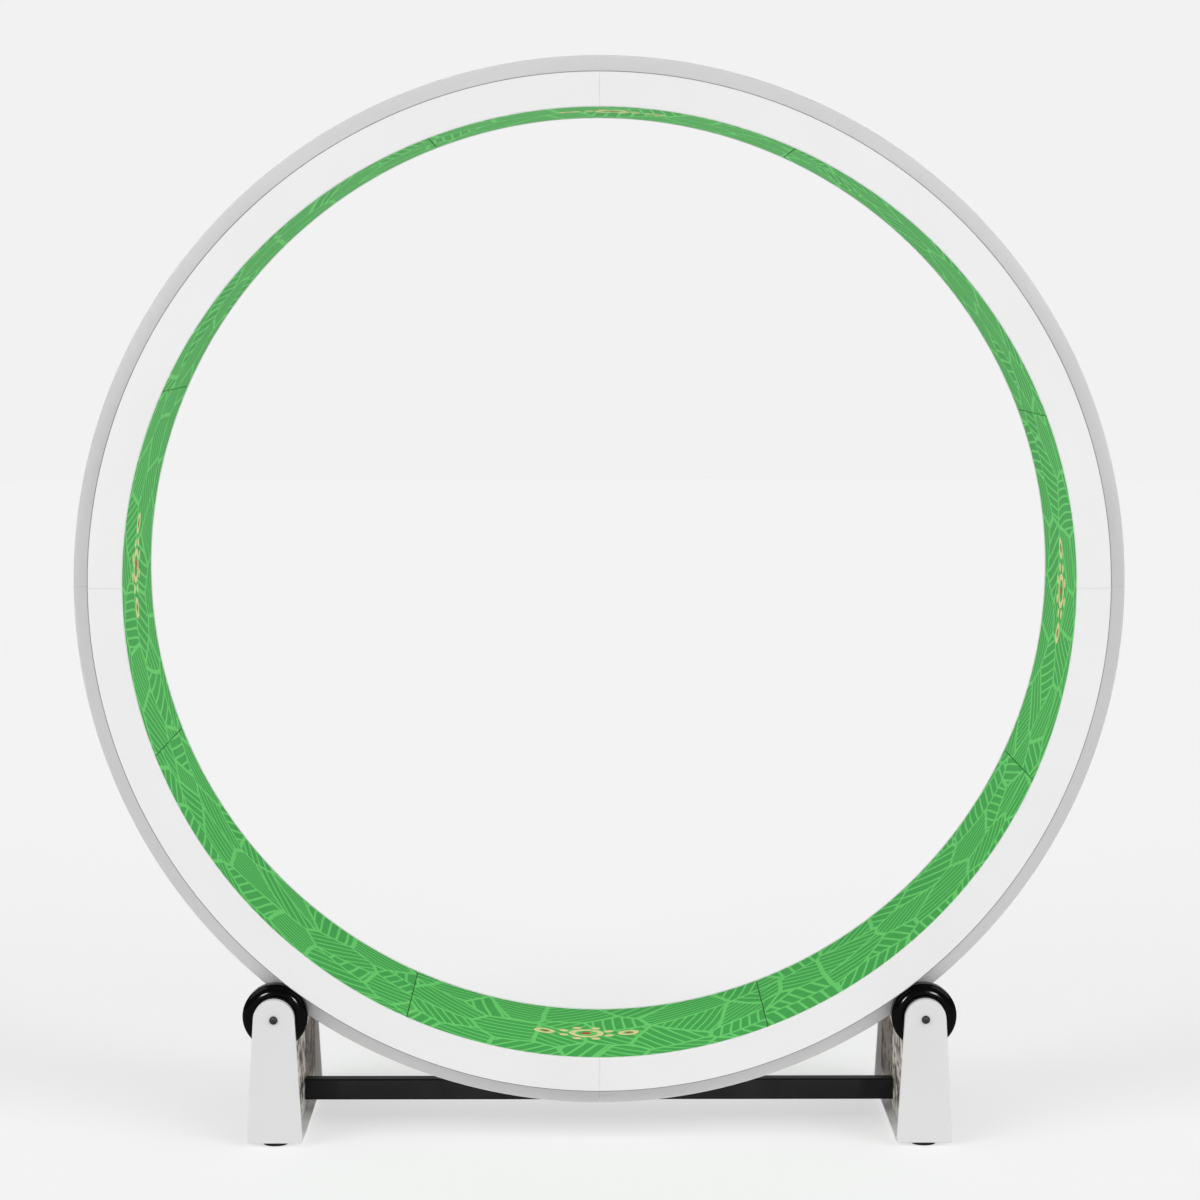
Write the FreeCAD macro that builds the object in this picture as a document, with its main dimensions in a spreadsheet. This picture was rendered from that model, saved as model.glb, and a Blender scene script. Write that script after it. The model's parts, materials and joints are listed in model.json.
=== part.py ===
import FreeCAD, Part
import math
import os
import re
import Sketcher

# Free-standing exercise wheel for a pet: a ribbed drum of four moulded quarters, lined with mats,
# turns on four rollers that two feet and a cross bar carry.
# Millimetres. +X right, +Y to the rear, +Z up; the origin is on the floor, below the drum's middle.

SIZES = {
    # drum
    "face_radius": 541,
    "face_height": 40,
    "flange_height": 19,
    "ground_gap": 41.5,
    "drum_depth": 272,
    "track_width": 25.6,
    "flange_width": 6,
    "rim_wall": 3,
    "rib_thick": 2.4,
    "rib_spacing": 15,
    "seam_gap": 0.5,
    "seam_bolt_depth": 15,
    "seam_bolt_inset": 76,
    "deck_thick": 3,
    "deck_play": 0.2,
    "mat_thick": 4,
    "mat_sink": 2.5,
    "mat_gap": 0.6,
    "mat_turn": 20.9,
    # rollers
    "roller_radius": 37.6,
    "roller_width": 21.6,
    "roller_inset": 2,
    "tyre_thick": 14,
    "tyre_bevel": 5,
    "track_gap": 0.3,
    "bearing_outer": 22,
    "bearing_bore": 8,
    "bearing_width": 7,
    "bearing_play": 0.05,
    "fit_play": 0.02,
    "spacer_outer": 12,
    # feet
    "roller_angle": 37.04,
    "plate_gap": 6,
    "plate_thick": 8,
    "plate_top": 23.6,
    "plate_foot": 64.4,
    "base_thick": 3,
    "sheet_thick": 3,
    "wall_offset": 23.4,
    "wall_drop": 23.7,
    "wall_low_drop": 43.7,
    "wall_step_gap": 0.4,
    "wall_step_run": 6,
    "wall_flange": 33,
    "wall_joint": 1,
    "strap_width": 60,
    "strap_drop": 29,
    "strap_screw_inset": 10,
    "strap_screw_drop": 16,
    "wall_screw_rise": 36,
    "wall_screw_drop": 17,
    # bar
    "bar_depth": 20,
    "bar_height": 25,
    "bar_gap": 15.2,
    "bar_wall": 2,
    "plug_length": 30,
    # rubber feet
    "foot_level": 4,
    "foot_radius": 14,
    "foot_inset": 8.5,
    # fasteners
    "screw_play": 0.1,
    "axle_screw": 5,
    "axle_screw_head": 9.5,
    "axle_screw_rise": 2.75,
    "axle_screw_length": 18,
    "axle_screw_tap": 14,
    "small_screw": 4,
    "small_screw_head": 7.6,
    "small_screw_rise": 2.2,
    "wall_screw_length": 9,
    "wall_screw_tap": 6.5,
    "bar_bolt": 6,
    "bar_bolt_head": 10.5,
    "bar_bolt_rise": 3.3,
    "bar_bolt_length": 30,
    "foot_stud": 5,
    "foot_stud_sink": 1.5,
    "seam_bolt": 5,
    "seam_bolt_head": 9.5,
    "seam_bolt_rise": 2.75,
    "nut_flats": 8,
    "nut_thick": 4,
    "nut_stub": 1.2,
}

# What follows from the sizes; formula() writes these names out.
DERIVED = {
    "track_radius": "face_radius + face_height",
    "rim_radius": "track_radius + flange_height",
    "face": "drum_depth / 2",
    "step": "face - track_width",
    "flange_back": "step - flange_width",
    "axis_level": "ground_gap + rim_radius",
    "axle_circle": "track_radius + roller_radius + track_gap",
    "axle_spread": "axle_circle * sin(roller_angle)",
    "axle_level": "axis_level - axle_circle * cos(roller_angle)",
    "mat_face": "face_radius + mat_sink",
    "deck_face": "mat_face + mat_thick",
    "deck_back": "deck_face + deck_thick",
    "rib_seat": "deck_back + deck_play",
    "seam_bolt_radius": "track_radius - rim_wall - seam_bolt_depth",
    "seam_bolt_place": "face - seam_bolt_inset",
    "plate_face": "face + plate_gap",
    "plate_back": "plate_face + plate_thick",
    "roller_out": "face - roller_inset",
    "roller_middle": "roller_out - roller_width / 2",
    "roller_in": "roller_out - roller_width",
    "hub_radius": "roller_radius - tyre_thick",
    "axle_rod": "bearing_bore - 2 * fit_play",
    "base_top": "foot_level + base_thick",
    "sheet_top": "base_top + sheet_thick",
    "wall_level": "axle_level - wall_drop",
    "wall_low_level": "axle_level - wall_low_drop",
    "wall_step_place": "roller_in - wall_step_gap - wall_step_run",
    "wall_screw_low": "foot_level + wall_screw_rise",
    "wall_screw_high": "wall_low_level - wall_screw_drop",
    "strap_level": "wall_level - strap_drop",
    "strap_screw_place": "strap_width / 2 - strap_screw_inset",
    "strap_screw_level": "strap_level - strap_screw_drop",
    "bar_top": "axis_level - track_radius - bar_gap",
    "bar_level": "bar_top - bar_height",
    "bar_middle": "bar_top - bar_height / 2",
    "bar_end": "axle_spread - wall_offset",
    "foot_place": "plate_face - foot_inset",
}

SEGMENTS = 4
MATS = 8
RIBS = 5
SIDES = {"left": -1, "right": 1}
ENDS = {"front": -1, "rear": 1}

doc = FreeCAD.newDocument("exercise_wheel")
sheet = doc.addObject("Spreadsheet::Sheet", "Sizes")
for row, (alias, value) in enumerate(SIZES.items(), start=1):
    sheet.set(f"A{row}", alias)
    sheet.set(f"B{row}", str(value))
    sheet.setAlias(f"B{row}", alias)
doc.recompute()

nodes = {}


# ---- formulas and small helpers ----

def formula(text):
    """The text with every size's name pointed at its cell, and every derived name written out."""
    def in_sheet(word):
        name = word[0]
        if name in DERIVED:
            return f"({formula(DERIVED[name])})"
        return f"Sizes.{name}" if name in SIZES else name

    return re.sub(r"[a-z_]+", in_sheet, str(text))


def number(text):
    """The formula's value now."""
    return float(sheet.evalExpression(formula(text)))


def bind(thing, **formulas):
    for name, text in formulas.items():
        thing.setExpression(name, formula(text))


def place(thing, x="0", y="0", z="0", turn=None):
    """Turn the object and bind its position to formulas."""
    if turn is not None:
        thing.Placement = FreeCAD.Placement(FreeCAD.Vector(), turn)
    for axis, text in zip("xyz", (x, y, z)):
        thing.setExpression(f".Placement.Base.{axis}", formula(text))


def rotation(axis, angle):
    return FreeCAD.Rotation(FreeCAD.Vector(*axis), angle)


X_WAY = (1, 0, 0)
Y_WAY = (0, 1, 0)
Z_WAY = (0, 0, 1)
TO_FRONT = rotation(X_WAY, 90)
TO_REAR = rotation(X_WAY, -90)
TO_RIGHT = rotation(Y_WAY, 90)
TO_LEFT = rotation(Y_WAY, -90)
UP = rotation(Z_WAY, 0)
POINTING = {"front": TO_FRONT, "rear": TO_REAR, "left": TO_LEFT, "right": TO_RIGHT}


def around_wheel(angle):
    """Drum pieces are drawn with their axis along Z, then laid down and turned about it."""
    return TO_FRONT.multiply(rotation(Z_WAY, angle))


def keep(name, thing):
    """Count the object as the sub-part of that name."""
    thing.Label = name
    nodes[name] = thing
    return thing


def body_of(name):
    return doc.addObject("PartDesign::Body", name)


def origin_feature(body, role):
    return next(item for item in body.Origin.OriginFeatures if item.Role == role)


def sketch_on(body, role, lift=None, turn=None):
    """A sketch on an origin plane, lifted off it or turned about its upright axis."""
    sketch = body.newObject("Sketcher::SketchObject", "Sketch")
    sketch.AttachmentSupport = [(origin_feature(body, role), "")]
    sketch.MapMode = "FlatFace"
    if lift is not None:
        sketch.setExpression(".AttachmentOffset.Base.z", formula(lift))
    if turn is not None:
        sketch.AttachmentOffset = FreeCAD.Placement(FreeCAD.Vector(), rotation(Y_WAY, number(turn)))
        sketch.setExpression(".AttachmentOffset.Rotation.Angle", formula(turn))
    return sketch


def fix_point(sketch, edge, end, x, y):
    """Bind a point of the sketch to two formulas."""
    for kind, text, axis in (("DistanceX", x, -2), ("DistanceY", y, -1)):
        if str(text) == "0":
            sketch.addConstraint(Sketcher.Constraint("PointOnObject", edge, end, axis))
        else:
            index = sketch.addConstraint(Sketcher.Constraint(kind, -1, 1, edge, end, number(text)))
            sketch.setExpression(f"Constraints[{index}]", formula(text))


def outline(sketch, points):
    """A closed outline of straight lines through points given as formulas."""
    corners = [FreeCAD.Vector(number(x), number(y), 0) for x, y in points]
    first = sketch.GeometryCount
    count = len(points)
    for index in range(count):
        sketch.addGeometry(Part.LineSegment(corners[index], corners[(index + 1) % count]))
    for index in range(count):
        following = first + (index + 1) % count
        sketch.addConstraint(Sketcher.Constraint("Coincident", first + index, 2, following, 1))
    for index, (x, y) in enumerate(points):
        fix_point(sketch, first + index, 1, x, y)


def box_outline(sketch, x_low, x_high, y_low, y_high):
    outline(sketch, [(x_low, y_low), (x_high, y_low), (x_high, y_high), (x_low, y_high)])


def ring(sketch, x, y, diameter):
    """A circle at a place given as formulas."""
    middle = FreeCAD.Vector(number(x), number(y), 0)
    edge = sketch.addGeometry(Part.Circle(middle, FreeCAD.Vector(0, 0, 1), number(diameter) / 2))
    index = sketch.addConstraint(Sketcher.Constraint("Diameter", edge, number(diameter)))
    sketch.setExpression(f"Constraints[{index}]", formula(diameter))
    fix_point(sketch, edge, 3, x, y)


def pad(body, sketch, length, middle=False):
    feature = body.newObject("PartDesign::Pad", "Pad")
    feature.Profile = sketch
    feature.SideType = "Symmetric" if middle else "One side"
    bind(feature, Length=length)
    return feature


def cut_through(body, sketch):
    feature = body.newObject("PartDesign::Pocket", "Pocket")
    feature.Profile = sketch
    feature.Type = "ThroughAll"
    feature.SideType = "Symmetric"
    return feature


def cut_down(body, sketch, depth, reverse=False):
    feature = body.newObject("PartDesign::Pocket", "Pocket")
    feature.Profile = sketch
    feature.Reversed = reverse
    bind(feature, Length=depth)
    return feature


def revolve(body, sketch, angle="360"):
    feature = body.newObject("PartDesign::Revolution", "Revolution")
    feature.Profile = sketch
    feature.ReferenceAxis = (sketch, ["V_Axis"])
    feature.Midplane = True
    bind(feature, Angle=angle)
    return feature


def repeat_around(body, feature, angle, count):
    pattern = body.newObject("PartDesign::PolarPattern", "PolarPattern")
    pattern.Originals = [feature]
    pattern.Axis = (origin_feature(body, "Z_Axis"), [""])
    pattern.Occurrences = count
    bind(pattern, Angle=angle)
    body.Tip = pattern
    return pattern


def mirror(body, feature, role):
    mirrored = body.newObject("PartDesign::Mirrored", "Mirrored")
    mirrored.Originals = [feature]
    mirrored.MirrorPlane = (origin_feature(body, role), [""])
    body.Tip = mirrored
    return mirrored


def turned(name, points):
    """A piece turned about Z from an outline of (radius, height) formulas."""
    body = body_of(name)
    sketch = sketch_on(body, "XZ_Plane")
    outline(sketch, points)
    revolve(body, sketch)
    return body


def group(name, master, places):
    """One sub-part of identical pieces: links to one master, each turned and placed by formulas."""
    links = []
    for turn, x, y, z in places:
        link = doc.addObject("App::Link", f"{name}_link")
        link.LinkedObject = master
        place(link, x, y, z, turn)
        links.append(link)
    compound = doc.addObject("Part::Compound", name)
    compound.Links = links
    return keep(name, compound)


def screw_outline(shank, head, rise, length):
    """Round-headed screw: seat of the head at 0, tip upwards."""
    return [
        ("0", f"-{rise}"),
        (f"{head} / 2", f"-{rise}"),
        (f"{head} / 2", "0"),
        (f"{shank} / 2", "0"),
        (f"{shank} / 2", length),
        ("0", length),
    ]


# ---- angles of the drum's pieces ----

SEGMENT_ANGLE = f"(360 / {SEGMENTS} - seam_gap / track_radius * 180 / pi)"
MAT_ANGLE = f"(360 / {MATS} - mat_gap / face_radius * 180 / pi)"


# ---- drum ----

def half_section():
    """Outer side of one half of the rim's section, from the opening's edge to the drum's middle."""
    return [
        ("face_radius", "face - rim_wall"),
        ("face_radius", "face"),
        ("track_radius", "face"),
        ("track_radius", "step"),
        ("rim_radius", "step"),
        ("rim_radius", "flange_back"),
        ("track_radius", "flange_back"),
    ]


def flipped(points):
    return [(x, f"-({y})") for x, y in reversed(points)]


def rim_section():
    """Channel open towards the axis: two face walls, the running shoulders, two flanges and the skin."""
    inside = [
        ("track_radius - rim_wall", "-(face - rim_wall)"),
        ("track_radius - rim_wall", "face - rim_wall"),
    ]
    half = half_section()
    return half + flipped(half) + inside


def rim_segment(index):
    """Moulded quarter ring: channel, bolted end walls and ribs that carry the deck panel."""
    body = body_of(f"rim_segment_{index + 1}")
    channel = sketch_on(body, "XZ_Plane")
    outline(channel, rim_section())
    revolve(body, channel, SEGMENT_ANGLE)

    end_wall = sketch_on(body, "XZ_Plane", turn=f"{SEGMENT_ANGLE} / 2")
    rib_outline(end_wall)
    for place_along in ("-seam_bolt_place", "seam_bolt_place"):
        ring(end_wall, "seam_bolt_radius", place_along, "seam_bolt + 2 * screw_play")
    mirror(body, pad(body, end_wall, "rim_wall"), "XZ_Plane")

    rib = sketch_on(body, "XZ_Plane", turn=f"-rib_spacing * {(RIBS - 1) / 2}")
    rib_outline(rib)
    repeat_around(body, pad(body, rib, "rib_thick", middle=True), f"rib_spacing * {RIBS - 1}", RIBS)
    place(body, z="axis_level", turn=around_wheel(360 / SEGMENTS * (index + 0.5)))
    keep(body.Name, body)


def rib_outline(sketch):
    """Plate across the channel, rooted half a wall deep in its three sides."""
    root = "track_radius - rim_wall / 2"
    side = "(face - rim_wall / 2)"
    box_outline(sketch, "rib_seat", root, f"-{side}", side)


def deck_panel(index):
    """Curved floor panel on the ribs, between the face walls."""
    body = body_of(f"deck_panel_{index + 1}")
    section = sketch_on(body, "XZ_Plane")
    side = "(face - rim_wall - deck_play)"
    box_outline(section, "deck_face", "deck_back", f"-{side}", side)
    revolve(body, section, SEGMENT_ANGLE)
    place(body, z="axis_level", turn=around_wheel(360 / SEGMENTS * (index + 0.5)))
    keep(body.Name, body)


def mat(index):
    """Lining mat on the deck; its joints miss the joints of the rim."""
    body = body_of(f"mat_{index + 1}")
    section = sketch_on(body, "XZ_Plane")
    side = "(face - rim_wall - deck_play)"
    box_outline(section, "mat_face", "deck_face", f"-{side}", side)
    revolve(body, section, MAT_ANGLE)
    place(body, z="axis_level", turn=around_wheel(number("mat_turn") + 360 / MATS * (index + 0.5)))
    keep(body.Name, body)


def seam_fasteners():
    """Two bolts and nuts through the end walls at each of the four seams."""
    reach = "(2 * rim_wall + seam_gap)"
    bolt = turned("seam_bolt_master", screw_outline(
        "seam_bolt", "seam_bolt_head", "seam_bolt_rise", f"{reach} + nut_thick + nut_stub"))
    nut = nut_master("seam_nut_master", "seam_bolt")
    bolts = []
    nuts = []
    for index in range(SEGMENTS):
        angle = 360 / SEGMENTS * index
        out = (math.cos(math.radians(angle)), math.sin(math.radians(angle)))
        along = (-out[1], out[0])
        turn = around_wheel(angle).multiply(rotation(X_WAY, -90))
        for y in ("-seam_bolt_place", "seam_bolt_place"):
            for start, rows in ((f"-{reach} / 2", bolts), (f"{reach} / 2", nuts)):
                x = f"seam_bolt_radius * {out[0]:.6f} + {start} * {along[0]:.6f}"
                z = f"axis_level + seam_bolt_radius * {out[1]:.6f} + {start} * {along[1]:.6f}"
                rows.append((turn, x, y, z))
    group("segment_bolts", bolt, bolts)
    group("segment_nuts", nut, nuts)


def nut_master(name, thread):
    body = body_of(name)
    sketch = sketch_on(body, "XY_Plane")
    corner = "nut_flats / sqrt(3)"
    outline(sketch, [
        (corner, "0"),
        (f"{corner} / 2", "nut_flats / 2"),
        (f"-{corner} / 2", "nut_flats / 2"),
        (f"-{corner}", "0"),
        (f"-{corner} / 2", "-nut_flats / 2"),
        (f"{corner} / 2", "-nut_flats / 2"),
    ])
    ring(sketch, "0", "0", f"{thread} + 2 * fit_play")
    pad(body, sketch, "nut_thick")
    return body


# ---- rollers ----

def tyre(name, x, y):
    half = "roller_width / 2"
    body = turned(f"{name}_tyre", [
        ("hub_radius", f"-{half}"),
        ("roller_radius - tyre_bevel", f"-{half}"),
        ("roller_radius", f"-({half} - tyre_bevel)"),
        ("roller_radius", f"{half} - tyre_bevel"),
        ("roller_radius - tyre_bevel", half),
        ("hub_radius", half),
    ])
    place(body, x, y, "axle_level", TO_FRONT)
    keep(body.Name, body)


def hub(name, x, y):
    """Roller centre, bored to turn on its two bearings."""
    bore = "(bearing_outer / 2 + bearing_play)"
    half = "roller_width / 2"
    body = turned(f"{name}_hub", ring_outline(bore, "hub_radius", f"-{half}", half))
    place(body, x, y, "axle_level", TO_FRONT)
    keep(body.Name, body)


def rollers():
    for side, sign_x in SIDES.items():
        for end, sign_y in ENDS.items():
            name = f"{end}_{side}"
            tyre(name, f"{sign_x} * axle_spread", f"{sign_y} * roller_middle")
            hub(name, f"{sign_x} * axle_spread", f"{sign_y} * roller_middle")


def axle_parts():
    """Rods between the end plates, with bearings and spacers clamped along them."""
    half = "plate_face"
    rod = "axle_rod / 2"
    tap = "(axle_screw / 2 + fit_play)"
    bore = "bearing_bore / 2"
    for side, sign_x in SIDES.items():
        axle = turned(f"{side}_axle", [
            ("0", f"-({half} - axle_screw_tap)"),
            (tap, f"-({half} - axle_screw_tap)"),
            (tap, f"-{half}"),
            (rod, f"-{half}"),
            (rod, half),
            (tap, half),
            (tap, f"{half} - axle_screw_tap"),
            ("0", f"{half} - axle_screw_tap"),
        ])
        place(axle, f"{sign_x} * axle_spread", "0", "axle_level", TO_FRONT)
        keep(axle.Name, axle)

        tube_outline = ring_outline(bore, "spacer_outer / 2", "-roller_in", "roller_in")
        tube = turned(f"{side}_long_spacer", tube_outline)
        place(tube, f"{sign_x} * axle_spread", "0", "axle_level", TO_FRONT)
        keep(tube.Name, tube)

    bearing = turned("bearing_master", ring_outline(bore, "bearing_outer / 2", "0", "bearing_width"))
    spacer = turned("short_spacer_master", ring_outline(
        bore, "spacer_outer / 2", "0", "plate_face - roller_out"))
    bearings = []
    spacers = []
    for sign_x in SIDES.values():
        x = f"{sign_x} * axle_spread"
        for end, sign_y in ENDS.items():
            turn = POINTING[end]
            bearings.append((turn, x, f"{sign_y} * roller_in", "axle_level"))
            bearings.append((turn, x, f"{sign_y} * (roller_out - bearing_width)", "axle_level"))
            spacers.append((turn, x, f"{sign_y} * roller_out", "axle_level"))
    group("roller_bearings", bearing, bearings)
    group("short_spacers", spacer, spacers)


def ring_outline(inner, outer, low, high):
    return [(inner, low), (outer, low), (outer, high), (inner, high)]


# ---- feet ----

def plate(side, sign_x, end, sign_y):
    """Tapered end plate whose round top is concentric with the axle."""
    body = body_of(f"{side}_{end}_plate")
    sketch = sketch_on(body, "XZ_Plane")
    low = number("foot_level")
    wide = number("plate_foot / 2")
    top = number("plate_top")
    level = number("axle_level")
    lean = math.atan2(wide - top, level - low)
    shoulder = FreeCAD.Vector(top * math.cos(lean), level + top * math.sin(lean), 0)
    left_shoulder = FreeCAD.Vector(-shoulder.x, shoulder.y, 0)
    corner = FreeCAD.Vector(wide, low, 0)
    left_corner = FreeCAD.Vector(-wide, low, 0)
    crown = FreeCAD.Vector(0, level + top, 0)
    sketch.addGeometry(Part.LineSegment(left_corner, corner))
    sketch.addGeometry(Part.LineSegment(corner, shoulder))
    sketch.addGeometry(Part.Arc(shoulder, crown, left_shoulder))
    sketch.addGeometry(Part.LineSegment(left_shoulder, left_corner))
    sketch.addConstraint(Sketcher.Constraint("Coincident", 0, 2, 1, 1))
    sketch.addConstraint(Sketcher.Constraint("Coincident", 3, 2, 0, 1))
    sketch.addConstraint(Sketcher.Constraint("Tangent", 1, 2, 2, 1))
    sketch.addConstraint(Sketcher.Constraint("Tangent", 2, 2, 3, 1))
    radius = sketch.addConstraint(Sketcher.Constraint("Radius", 2, top))
    sketch.setExpression(f"Constraints[{radius}]", formula("plate_top"))
    fix_point(sketch, 2, 3, "0", "axle_level")
    fix_point(sketch, 0, 1, "-plate_foot / 2", "foot_level")
    fix_point(sketch, 0, 2, "plate_foot / 2", "foot_level")
    ring(sketch, "0", "axle_level", "axle_screw + 2 * screw_play")
    pad(body, sketch, "plate_thick")

    holes = sketch_on(body, "XZ_Plane")
    for z in ("wall_screw_low", "wall_screw_high"):
        ring(holes, "0", z, "small_screw + 2 * fit_play")
    cut_down(body, holes, "wall_screw_tap", reverse=True)
    turn = rotation(Z_WAY, 0 if end == "front" else 180)
    place(body, f"{sign_x} * axle_spread", f"{sign_y} * plate_face", "0", turn)
    keep(body.Name, body)


def base_plate(side, sign_x):
    body = body_of(f"{side}_base_plate")
    sketch = sketch_on(body, "XY_Plane")
    box_outline(sketch, "-plate_foot / 2", "plate_foot / 2", "-plate_face", "plate_face")
    for y in ("-foot_place", "foot_place"):
        ring(sketch, "0", y, "foot_stud + 2 * screw_play")
    pad(body, sketch, "base_thick")
    place(body, f"{sign_x} * axle_spread", "0", "foot_level")
    keep(body.Name, body)


def wall(side, sign_x, end, sign_y):
    """Half of a foot's folded wall: upright web, bottom flange and end flange."""
    body = body_of(f"{side}_{end}_wall")
    inward = -sign_x
    joint = f"{sign_y} * wall_joint / 2"
    far = f"{sign_y} * plate_face"
    web = sketch_on(body, "YZ_Plane", lift="wall_offset - sheet_thick" if inward > 0 else "-wall_offset")
    outline(web, [
        (joint, "base_top"),
        (joint, "wall_level"),
        (f"{sign_y} * wall_step_place", "wall_level"),
        (f"{sign_y} * (wall_step_place + wall_step_run)", "wall_low_level"),
        (far, "wall_low_level"),
        (far, "base_top"),
    ])
    ring(web, f"{sign_y} * strap_screw_place", "strap_screw_level", "small_screw + 2 * fit_play")
    pad(body, web, "sheet_thick")

    reach = f"{inward} * (wall_offset - wall_flange)"
    face = f"{inward} * wall_offset"
    floor = sketch_on(body, "XY_Plane", lift="base_top")
    box_outline(floor, reach, face, joint, far)
    ring(floor, "0", f"{sign_y} * foot_place", "foot_stud + 2 * screw_play")
    pad(body, floor, "sheet_thick")

    end_lift = "-plate_face" if sign_y > 0 else "plate_face - sheet_thick"
    end_flange = sketch_on(body, "XZ_Plane", lift=end_lift)
    box_outline(end_flange, reach, face, "base_top", "wall_low_level")
    for z in ("wall_screw_low", "wall_screw_high"):
        ring(end_flange, "0", z, "small_screw + 2 * screw_play")
    pad(body, end_flange, "sheet_thick")

    notch = sketch_on(body, "YZ_Plane")
    ring(notch, "0", "bar_middle", "bar_bolt + 2 * screw_play")
    cut_through(body, notch)
    place(body, f"{sign_x} * axle_spread")
    keep(body.Name, body)


def wall_strap(side, sign_x):
    """Strap that laps the two wall halves on the foot's inside."""
    body = body_of(f"{side}_wall_strap")
    outer_face = "wall_offset - 2 * sheet_thick" if sign_x < 0 else "-wall_offset + sheet_thick"
    sketch = sketch_on(body, "YZ_Plane", lift=outer_face)
    box_outline(sketch, "-strap_width / 2", "strap_width / 2", "sheet_top", "strap_level")
    for y in ("-strap_screw_place", "strap_screw_place"):
        ring(sketch, y, "strap_screw_level", "small_screw + 2 * screw_play")
    ring(sketch, "0", "bar_middle", "bar_bolt + 2 * screw_play")
    pad(body, sketch, "sheet_thick")
    place(body, f"{sign_x} * axle_spread")
    keep(body.Name, body)


def cross_bar():
    """Rectangular tube from wall to wall under the drum."""
    body = body_of("cross_bar")
    sketch = sketch_on(body, "YZ_Plane")
    for inset in ("0", "bar_wall"):
        box_outline(sketch, f"-(bar_depth / 2 - {inset})", f"bar_depth / 2 - {inset}",
                    f"bar_level + {inset}", f"bar_level + bar_height - {inset}")
    pad(body, sketch, "2 * bar_end", middle=True)
    keep(body.Name, body)


def bar_plugs():
    """Threaded blocks pressed into the bar's ends."""
    body = body_of("bar_plug_master")
    sketch = sketch_on(body, "XY_Plane")
    half_z = "(bar_height / 2 - bar_wall)"
    half_y = "(bar_depth / 2 - bar_wall)"
    box_outline(sketch, f"-{half_z}", half_z, f"-{half_y}", half_y)
    ring(sketch, "0", "0", "bar_bolt + 2 * fit_play")
    pad(body, sketch, "plug_length")
    places = [
        (TO_RIGHT, "-bar_end", "0", "bar_middle"),
        (TO_LEFT, "bar_end", "0", "bar_middle"),
    ]
    group("bar_plugs", body, places)


def rubber_feet():
    """Rubber discs, each moulded round the end of its stud."""
    hole = "(foot_stud / 2 + fit_play)"
    points = [
        ("0", "0"),
        ("foot_radius", "0"),
        ("foot_radius", "foot_level"),
        (hole, "foot_level"),
        (hole, "foot_stud_sink"),
        ("0", "foot_stud_sink"),
    ]
    places = [
        (UP, f"{sign_x} * axle_spread", f"{sign_y} * foot_place", "0")
        for sign_x in SIDES.values()
        for sign_y in ENDS.values()
    ]
    group("rubber_feet", turned("foot_master", points), places)


def stand_fasteners():
    axle_screw = turned("axle_screw_master", screw_outline(
        "axle_screw", "axle_screw_head", "axle_screw_rise", "axle_screw_length"))
    wall_screw = turned("wall_screw_master", screw_outline(
        "small_screw", "small_screw_head", "small_screw_rise", "wall_screw_length"))
    strap_screw = turned("strap_screw_master", screw_outline(
        "small_screw", "small_screw_head", "small_screw_rise", "2 * sheet_thick"))
    bar_bolt = turned("bar_bolt_master", screw_outline(
        "bar_bolt", "bar_bolt_head", "bar_bolt_rise", "bar_bolt_length"))
    stud_length = "sheet_top + nut_thick + nut_stub - foot_stud_sink"
    foot_stud = turned("foot_stud_master", [
        ("0", "0"),
        ("foot_stud / 2", "0"),
        ("foot_stud / 2", stud_length),
        ("0", stud_length),
    ])
    foot_nut = nut_master("foot_nut_master", "foot_stud")

    opposite = {"front": TO_REAR, "rear": TO_FRONT}
    axle_places = []
    wall_places = []
    strap_places = []
    bolt_places = []
    foot_places = []
    nut_places = []
    for side, sign_x in SIDES.items():
        x = f"{sign_x} * axle_spread"
        towards_wheel = TO_RIGHT if side == "left" else TO_LEFT
        strap_face = f"{sign_x} * (axle_spread - wall_offset + 2 * sheet_thick)"
        bolt_places.append((towards_wheel, strap_face, "0", "bar_middle"))
        for end, sign_y in ENDS.items():
            axle_places.append((opposite[end], x, f"{sign_y} * plate_back", "axle_level"))
            foot_places.append((UP, x, f"{sign_y} * foot_place", "foot_stud_sink"))
            nut_places.append((UP, x, f"{sign_y} * foot_place", "sheet_top"))
            for z in ("wall_screw_low", "wall_screw_high"):
                wall_places.append((POINTING[end], x, f"{sign_y} * (plate_face - sheet_thick)", z))
            strap_y = f"{sign_y} * strap_screw_place"
            strap_places.append((towards_wheel, strap_face, strap_y, "strap_screw_level"))
    group("axle_screws", axle_screw, axle_places)
    group("wall_screws", wall_screw, wall_places)
    group("strap_screws", strap_screw, strap_places)
    group("bar_bolts", bar_bolt, bolt_places)
    group("foot_studs", foot_stud, foot_places)
    group("foot_nuts", foot_nut, nut_places)


# ---- the whole wheel ----

for number_of in range(SEGMENTS):
    rim_segment(number_of)
    deck_panel(number_of)
for number_of in range(MATS):
    mat(number_of)
seam_fasteners()
rollers()
axle_parts()
for side, sign_x in SIDES.items():
    for end, sign_y in ENDS.items():
        plate(side, sign_x, end, sign_y)
        wall(side, sign_x, end, sign_y)
    base_plate(side, sign_x)
    wall_strap(side, sign_x)
cross_bar()
bar_plugs()
rubber_feet()
stand_fasteners()
doc.recompute()

for thing in doc.Objects:
    if "Invalid" in thing.State or "Error" in thing.State:
        raise RuntimeError(f"{thing.Label}: {thing.State}")
for name, thing in nodes.items():
    if thing.Shape.isNull() or not thing.Shape.isValid():
        raise RuntimeError(f"{name}: no valid shape")

os.makedirs("parts", exist_ok=True)
for name, thing in nodes.items():
    thing.Shape.exportStep(f"parts/{name}.step")
print(len(nodes), "sub-parts")
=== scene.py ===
import json
import math

import bmesh
import bpy
from mathutils import Matrix, Vector


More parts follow.
